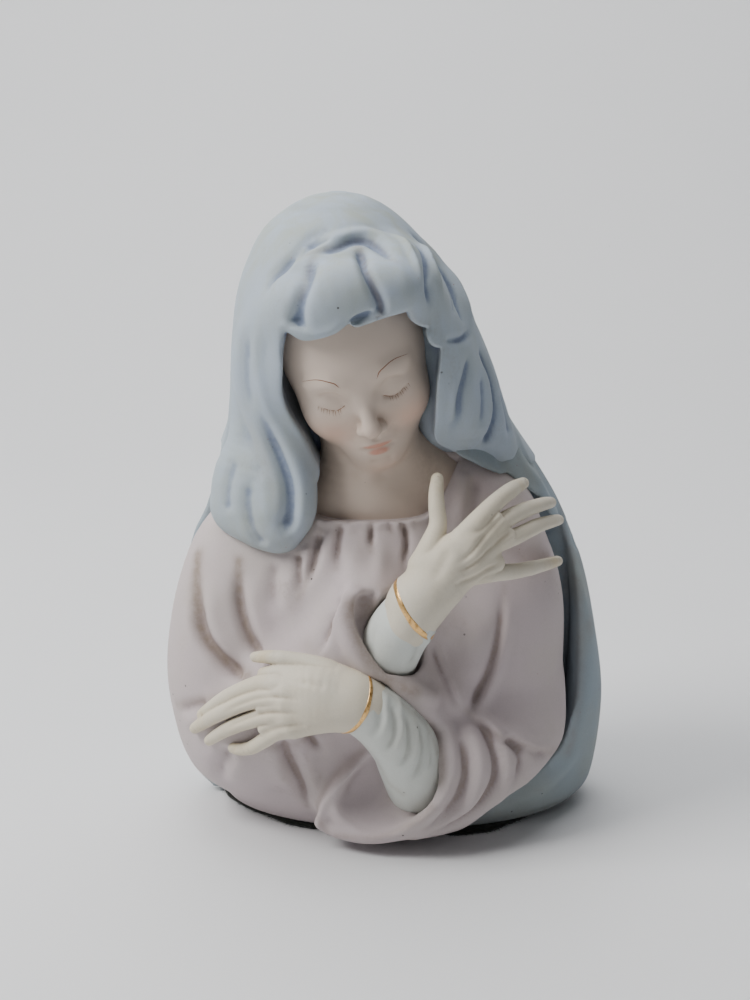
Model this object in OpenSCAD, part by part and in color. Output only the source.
// Devotional bust of a veiled lady with her hands crossed on her breast.
// Bisque porcelain: hollow castings luted together, gilt lines at both wrists,
// and a sheet of felt glued under the floor. Millimetres, +Z up, facing -Y.

/* [Overall] */
// Height of the whole bust with its felt
height = 170; // [150:1:190]

/* [Castings] */
// Wall of the hollow castings
wall = 3.5; // [3:0.5:4.5]
// Diameter of the vent hole through the floor
vent_d = 14; // [8:1:20]

/* [Felt] */
// Thickness of the felt sheet
felt_t = 1.5; // [1:0.25:2]
// How far the felt stays inside the outline of the floor
felt_inset = 1; // [0.5:0.5:4]

/* [Wrists] */
// Radius of both wrists at the gilt line
wrist_r = 7; // [6.5:0.25:7.5]
// Width of a gilt line
band_w = 1.8; // [1:0.2:3]
// Thickness of a gilt line
band_t = 0.3; // [0.2:0.1:0.5]

/* [Left undersleeve] */
// Number of gathers round the left undersleeve
gathers = 6; // [4:1:7]

/* [Hidden] */

// All the numbers below are for a bust of this height, and the whole is then scaled.
drawn_height = 170;
to_size = height / drawn_height;
// Moves the middle of the footprint's box onto the origin.
centring = [-1.6, 7.68, 0];
ball_fn = 20;
ring_sides = 48;
far = 300;
clearance = 0.05;

// Rings of the clothed body, the cloak and the hood: [z, middle x, middle y, half width, half depth].
body_rings = [[felt_t, 2, 4, 46, 31], [10, -1, 2, 49, 33], [24, -3.5, 0, 52, 35.5], [40, -4.5, -1, 52, 36],
    [56, -4.5, -1, 50, 34], [68, -4, -1, 46.5, 31], [78, -3.5, -1, 42.5, 28.5], [86, -3, 0, 36, 26],
    [92, -3, 0, 29, 23.5], [98, -3, 1, 20, 15], [101, -3, 1, 14, 10]];
cloak_rings = [[felt_t, 3, 3, 51, 31], [8, 3, 3, 55.5, 33], [30, 2, 2, 59, 35], [50, 1, 2, 57.5, 35],
    [68, 0.5, 2, 54, 34], [83, 0, 2, 48.5, 32], [93, -1, 2, 44, 29], [102, -3, 0, 40, 27],
    [110, -4, -2, 36.5, 25], [120, -5, -4, 33, 24]];
hood_rings = [[100, -5.5, -2, 32, 24], [110, -5, -4, 35, 26], [122, -6.8, -9, 33.5, 30], [134, -8, -11.5, 31.5, 31.5],
    [145, -9.5, -11.5, 28.5, 31], [154, -11, -10, 24, 27], [161, -12, -8, 19, 21], [166, -12, -7, 13, 15],
    [169, -12, -7, 7, 8], [170, -12, -7, 2.5, 3]];

// The head's own place: its middle between the ears, nod, and lean to her right shoulder.
head_at = [-7.6, -17, 130];
head_nod = 22;
head_lean = -15;

// Wrists: where the gilt line lies and the way the hand points.
right_wrist = [8, -42, 69.5];
right_wrist_turn = [0, 34, 0];
left_wrist = [-7, -45, 44.5];
left_wrist_turn = [0, -62, 0];

module placed() translate(to_size * centring) scale(to_size) children();

module ball(p, r) translate(p) sphere(r = r, $fn = ball_fn);

module limb(p, q, rp, rq) hull() {
    ball(p, rp);
    ball(q, rq);
}

// A row of limbs through points given as [x, y, z, r], each point's ball grown by grow.
module chain(points, grow = 0)
    for (i = [0 : len(points) - 2])
        limb([for (k = [0 : 2]) points[i][k]], [for (k = [0 : 2]) points[i + 1][k]],
            points[i][3] + grow, points[i + 1][3] + grow);

function ring_points(s, grow) = [for (i = [0 : ring_sides - 1])
    let (a = 360 * i / ring_sides) [s[1] + (s[3] + grow) * cos(a), s[2] + (s[4] + grow) * sin(a), s[0]]];

// A closed solid through a stack of rings.
module loft(rings, grow = 0) {
    n = ring_sides;
    top = (len(rings) - 1) * n;
    points = [for (s = rings) each ring_points(s, grow)];
    sides = [for (j = [0 : len(rings) - 2]) for (i = [0 : n - 1])
        [j * n + i, (j + 1) * n + i, (j + 1) * n + (i + 1) % n, j * n + (i + 1) % n]];
    polyhedron(points = points, faces = concat([[for (i = [0 : n - 1]) i]], sides,
        [[for (i = [n - 1 : -1 : 0]) top + i]]), convexity = 6);
}

module above(z) translate([-far / 2, -far / 2, z]) cube(far);
module in_front(y) translate([-far / 2, y - far, -far / 2]) cube(far);
module behind(y) translate([-far / 2, y, -far / 2]) cube(far);

// ---- masses, which the nodes cut from each other ----

right_arm = [[-30, -3, 83, 12], [-38, -7, 70, 14.5], [-41.8, -11, 50, 16], [-41, -13, 36, 16.2], [-37, -13, 25, 15]];
left_arm = [[23, -5, 86, 12.5], [29.5, -10, 77, 14.5], [32.6, -12, 62, 15.4], [32.4, -12, 44, 15.2], [32, -13, 31, 14.4]];

module body_mass(grow = 0) {
    loft(body_rings, grow);
    chain(right_arm, grow);
    chain(left_arm, grow);
}

module right_sleeve_mass(grow = 0)
    chain([[-33, -21, 25, 13], [-24, -26, 38, 13.5], [-13, -30, 50, 13], [-6, -31, 60, 11], [-4, -30.5, 65, 9]], grow);

left_sleeve = [[38, -12, 29, 14], [31, -19, 24, 16], [20, -24.5, 22, 18], [8, -27, 19.5, 17], [-3, -29, 16, 13],
    [-9, -30, 12.5, 9.5]];
module left_sleeve_mass(grow = 0) chain(left_sleeve, grow);
// The bell mouth of her left sleeve.
module left_sleeve_mouth() chain([[14, -38, 29, 10], [6, -41, 24, 11], [-3, -43, 18, 9], [-10, -44, 16, 6]]);

module cloak_mass(grow = 0) loft(cloak_rings, grow);
module hood_mass(grow = 0) loft(hood_rings, grow);

module head_frame() translate(head_at) rotate([head_nod, head_lean, 0]) children();
module egg(p, r) translate(p) scale(r) sphere(r = 1, $fn = 32);

module skull(grow = 0) head_frame() {
    egg([0, 3, 7], [19.5 + grow, 24 + grow, 21 + grow]);
    egg([0, -5.5, -8.5], [15.2 + grow, 14.5 + grow, 18.5 + grow]);
}
neck = [[-8, -10, 116, 11], [-5.5, -11, 104, 11], [-4.5, -9.5, 96, 12.4], [-4, -8, 88, 13.5]];
module head_mass(grow = 0) {
    skull(grow);
    chain(neck, grow);
}

// The space that the face looks out of.
module face_opening() hull() {
    egg([-5, -32, 117], [21, 14, 24]);
    egg([-5, -60, 117], [23, 14, 27]);
}

// Hollow that the castings share, open only at the vent.
module hollow() intersection() {
    union() {
        body_mass(-wall);
        intersection() {
            cloak_mass(-wall);
            behind(-4);
        }
        intersection() {
            hood_mass(-wall);
            behind(-8);
        }
        head_mass(-wall);
    }
    above(felt_t + wall);
}

module right_forearm_mass()
    chain([[-2, -29, 48, 8], [3, -38, 59, 8.2], [5.5, -40.5, 64, 7.8], [8, -42, 69.5, wrist_r]]);

module left_forearm_mass() {
    base = [10, -33, 25];
    chain([[10, -33, 25, 9.5], [4, -40, 34, 9], [-2, -43.5, 40, 8], [-7, -45, 44.5, wrist_r]]);
    for (i = [1 : gathers]) {
        t = 0.15 + 0.62 * i / gathers;
        translate(base + t * (left_wrist - base)) rotate(left_wrist_turn)
            scale([1, 1, 0.28]) sphere(r = 10.4 - 1.9 * t, $fn = ball_fn);
    }
}

right_fingers = [
    [[19.5, -42, 86.5, 3.4], [24, -40, 91.5, 2.6], [30, -33, 95.3, 2.3], [35.9, -23, 96.6, 1.8]],
    [[21, -42.5, 83.6, 3.4], [28, -38.5, 89, 2.6], [36, -29, 90.9, 2.2], [43.4, -20.5, 90.8, 1.7]],
    [[21.5, -42.5, 80.4, 3.4], [29, -38.5, 84.6, 2.6], [38, -29.5, 86.2, 2.2], [45.6, -19.5, 85.8, 1.7]],
    [[20, -42, 77, 3.4], [28, -39, 77, 2.4], [36.5, -31.5, 75.9, 2.1], [45.7, -20.5, 74.4, 1.6]],
    [[9.8, -42, 80, 3.8], [12.4, -40.5, 87, 2.8], [13.2, -38, 94, 2.3], [13.4, -35, 100.5, 1.8]]];
left_fingers = [
    [[-24, -45.5, 48.6, 3.2], [-30.5, -43, 48.6, 2.5], [-40.4, -36, 42.8, 2.2], [-47.9, -27, 35.6, 1.7]],
    [[-24.5, -46.5, 45, 3.2], [-32, -43.6, 44.6, 2.5], [-42.7, -36, 38, 2.2], [-50, -26.5, 31.2, 1.7]],
    [[-24, -46.5, 41.3, 3.2], [-31.5, -43.6, 39.8, 2.5], [-39.7, -38, 34.8, 2.1], [-46, -29.5, 29, 1.7]],
    [[-23, -46, 38, 3.2], [-28.5, -44.4, 35.6, 2.4], [-34.5, -39.5, 29.8, 2], [-39.5, -34.5, 28.2, 1.6]],
    [[-12, -44.5, 50.5, 3.8], [-17.6, -43.5, 53.8, 2.7], [-26.6, -41.5, 55, 2.1], [-33.3, -38.3, 53.9, 1.6]]];

module hand_mass(wrist, palm, fingers) {
    limb(wrist, palm, wrist_r - 0.6, 6);
    hull() {
        ball(wrist, wrist_r - 1);
        for (i = [0 : 3]) ball([for (k = [0 : 2]) fingers[i][0][k]], fingers[i][0][3]);
    }
    for (f = fingers) chain(f);
}
module right_hand_mass() hand_mass(right_wrist, [13, -42.5, 76], right_fingers);
module left_hand_mass() hand_mass(left_wrist, [-16, -46, 44], left_fingers);

// Cuts the hand from the undersleeve at the gilt line; the hand is on the +Z side.
module hand_side(wrist, turn, shift = 0) translate(wrist) rotate(turn) translate([-far / 2, -far / 2, shift]) cube(far);

// ---- nodes ----

// The vent hole through floor and felt, on the part's own axis.
module vent() translate(-centring) translate([0, 0, -1]) cylinder(d = vent_d / to_size, h = 20, $fn = 48);

module gown_body() color("thistle") placed() difference() {
    intersection() {
        body_mass();
        above(felt_t);
        in_front(1);
    }
    hollow();
    head_mass(clearance);
    right_sleeve_mass(clearance);
    left_sleeve_mass(clearance);
    cloak_part();
    vent();
}

module right_gown_sleeve() color("thistle") placed() difference() {
    right_sleeve_mass();
    left_sleeve_mass(clearance);
    right_sleeve_mass(-wall);
    hollow();
    right_forearm_mass();
    left_forearm_mass();
    left_hand_mass();
    gilt_seats();
}

module left_gown_sleeve() color("thistle") placed() difference() {
    intersection() {
        left_sleeve_mass();
        above(felt_t + 1);
    }
    intersection() {
        left_sleeve_mass(-wall);
        above(felt_t + 1 + wall);
        behind(-24);
    }
    left_sleeve_mouth();
    hollow();
    cloak_part();
    left_forearm_mass();
    left_hand_mass();
}

// The blue cloak: her whole back, and on her left a strip in front that runs under the sleeve.
module cloak_part() difference() {
    intersection() {
        cloak_mass();
        above(felt_t);
        union() {
            behind(1);
            cloak_front_left();
        }
    }
    difference() {
        body_mass(clearance);
        behind(1);
    }
}
module cloak_front_left() {
    translate([42, -20, 0]) cube([far, far, 86]);
    translate([19, -20, 84]) cube(far);
    translate([16, -34, 0]) cube([far, far, 19]);
}

module mantle() color("lightsteelblue") placed() difference() {
    cloak_part();
    hollow();
    head_mass(clearance);
    veil_space();
    vent();
}

// The veil lies outside the mantle down to this height.
veil_hem = 106;
module veil_space() intersection() {
    hood_mass(clearance);
    above(veil_hem);
}

// The front fold of the hood, rolled over the forehead, and the two lobes beside her left cheek.
module brow_roll() {
    chain([[-30, -22, 133, 4.5], [-25, -32, 139, 5], [-14, -38, 141.5, 5], [-3, -39, 143, 5], [7, -34, 144, 5.5],
        [14, -25, 140, 5.5], [19, -18, 130, 5.5], [21, -15, 118, 5]]);
}

module veil_hood() color("lightsteelblue") placed() difference() {
    union() {
        intersection() {
            hood_mass();
            above(veil_hem);
        }
        brow_roll();
    }
    difference() {
        hollow();
        brow_roll();
    }
    head_mass(clearance);
    difference() {
        face_opening();
        brow_roll();
    }
}

module veil_lappet() color("lightsteelblue") placed() difference() {
    union() {
        chain([[-31, -20, 126, 6], [-28, -21, 116, 7.5], [-25, -23, 106, 8], [-26, -24, 96, 9], [-29, -22, 89, 10]]);
        chain([[-33, -8, 106, 7], [-35, -12, 96, 9.5], [-35, -16, 90, 9]]);
    }
    body_mass(clearance);
    head_mass(clearance);
    brow_roll();
    veil_space();
    cloak_part();
}

module head() color("seashell") placed() difference() {
    head_mass();
    hollow();
}

// The seats of both gilt lines.
module gilt_seats() {
    wrist_band(right_wrist, right_wrist_turn, clearance);
    wrist_band(left_wrist, left_wrist_turn, clearance);
}

module right_undersleeve() color("ivory") placed() difference() {
    right_forearm_mass();
    left_forearm_mass();
    gilt_seats();
    body_mass(clearance);
    left_sleeve_mass(clearance);
    hand_side(right_wrist, right_wrist_turn);
}

module left_undersleeve() color("ivory") placed() difference() {
    left_forearm_mass();
    gilt_seats();
    body_mass(clearance);
    hand_side(left_wrist, left_wrist_turn);
}

module right_hand() color("seashell") placed() difference() {
    intersection() {
        right_hand_mass();
        hand_side(right_wrist, right_wrist_turn);
    }
    gilt_seats();
    body_mass(clearance);
    left_hand_mass();
}

module left_hand() color("seashell") placed() difference() {
    intersection() {
        left_hand_mass();
        hand_side(left_wrist, left_wrist_turn);
    }
    gilt_seats();
    body_mass(clearance);
}

module wrist_band(wrist, turn, grow = 0) translate(wrist) rotate(turn) translate([0, 0, -band_w / 2 - grow])
    rotate_extrude($fn = 64) translate([wrist_r + clearance - grow, 0]) square([band_t + 2 * grow, band_w + 2 * grow]);

module right_wrist_band() color("goldenrod") placed() wrist_band(right_wrist, right_wrist_turn);
module left_wrist_band() color("goldenrod") placed() wrist_band(left_wrist, left_wrist_turn);

// The outline of the floor, drawn in by the inset.
module felt_base() color("black") placed() difference() {
    linear_extrude(height = felt_t) polygon([for (i = [0 : 71]) let (a = 5 * i)
        [cloak_rings[0][1] + (cloak_rings[0][3] - felt_inset) * cos(a),
            cloak_rings[0][2] + (cloak_rings[0][4] - felt_inset) * sin(a)]]);
    vent();
}

gown_body();
right_gown_sleeve();
left_gown_sleeve();
mantle();
veil_hood();
veil_lappet();
head();
right_hand();
left_hand();
right_undersleeve();
left_undersleeve();
right_wrist_band();
left_wrist_band();
felt_base();
